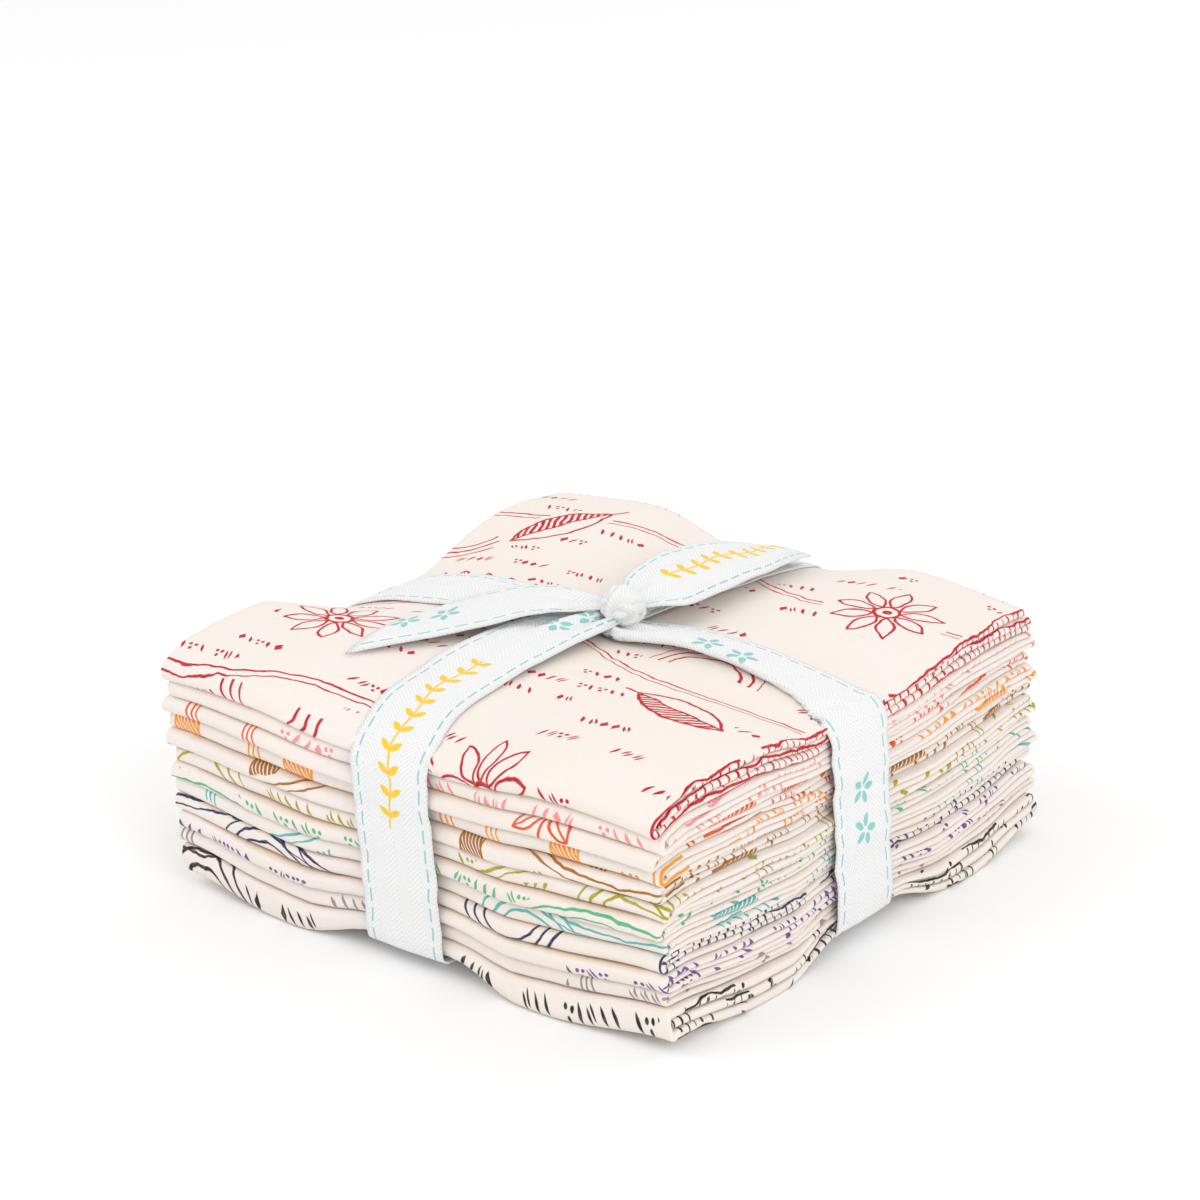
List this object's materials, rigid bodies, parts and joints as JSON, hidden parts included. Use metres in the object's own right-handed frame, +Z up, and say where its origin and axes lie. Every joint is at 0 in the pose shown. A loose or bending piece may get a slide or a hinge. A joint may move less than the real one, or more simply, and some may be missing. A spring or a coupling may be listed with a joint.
{
  "type": "fat quarter bundle",
  "caption": "Stack of folded printed cotton fat quarters in rainbow order, tied both ways with a white twill ribbon knotted on top.",
  "frame": {"origin": "on the surface it rests on, under the middle of the bundle's box", "axes": "+Z up; the rolled folds face -Y, the layered fold edges face +X"},
  "size_m": [0.154, 0.158, 0.071],
  "materials": {
    "cotton_red": "natural cotton printed in red, matt plain weave",
    "cotton_pink": "natural cotton printed in pink, matt plain weave",
    "cotton_coral": "natural cotton printed in coral, matt plain weave",
    "cotton_amber": "natural cotton printed in amber, matt plain weave",
    "cotton_mustard": "natural cotton printed in mustard brown, matt plain weave",
    "cotton_olive": "natural cotton printed in olive yellow, matt plain weave",
    "cotton_green": "natural cotton printed in green, matt plain weave",
    "cotton_teal": "natural cotton printed in teal, matt plain weave",
    "cotton_navy": "natural cotton printed in navy, matt plain weave",
    "cotton_purple": "natural cotton printed in purple, matt plain weave",
    "cotton_grey": "natural cotton printed in grey, matt plain weave",
    "cotton_black": "natural cotton printed in black, matt plain weave",
    "ribbon": "white herringbone twill with teal running stitch and a small yellow woven motif"
  },
  "bodies": {
    "root": {"fat_quarter_red": "cotton_red", "fat_quarter_pink": "cotton_pink", "fat_quarter_coral": "cotton_coral", "fat_quarter_amber": "cotton_amber", "fat_quarter_mustard": "cotton_mustard", "fat_quarter_olive": "cotton_olive", "fat_quarter_green": "cotton_green", "fat_quarter_teal": "cotton_teal", "fat_quarter_navy": "cotton_navy", "fat_quarter_purple": "cotton_purple", "fat_quarter_grey": "cotton_grey", "fat_quarter_black": "cotton_black", "ribbon_wrap_long": "ribbon", "ribbon_wrap_cross": "ribbon", "ribbon_knot": "ribbon", "ribbon_tail_left": "ribbon", "ribbon_tail_right": "ribbon"}
  },
  "joints": []
}
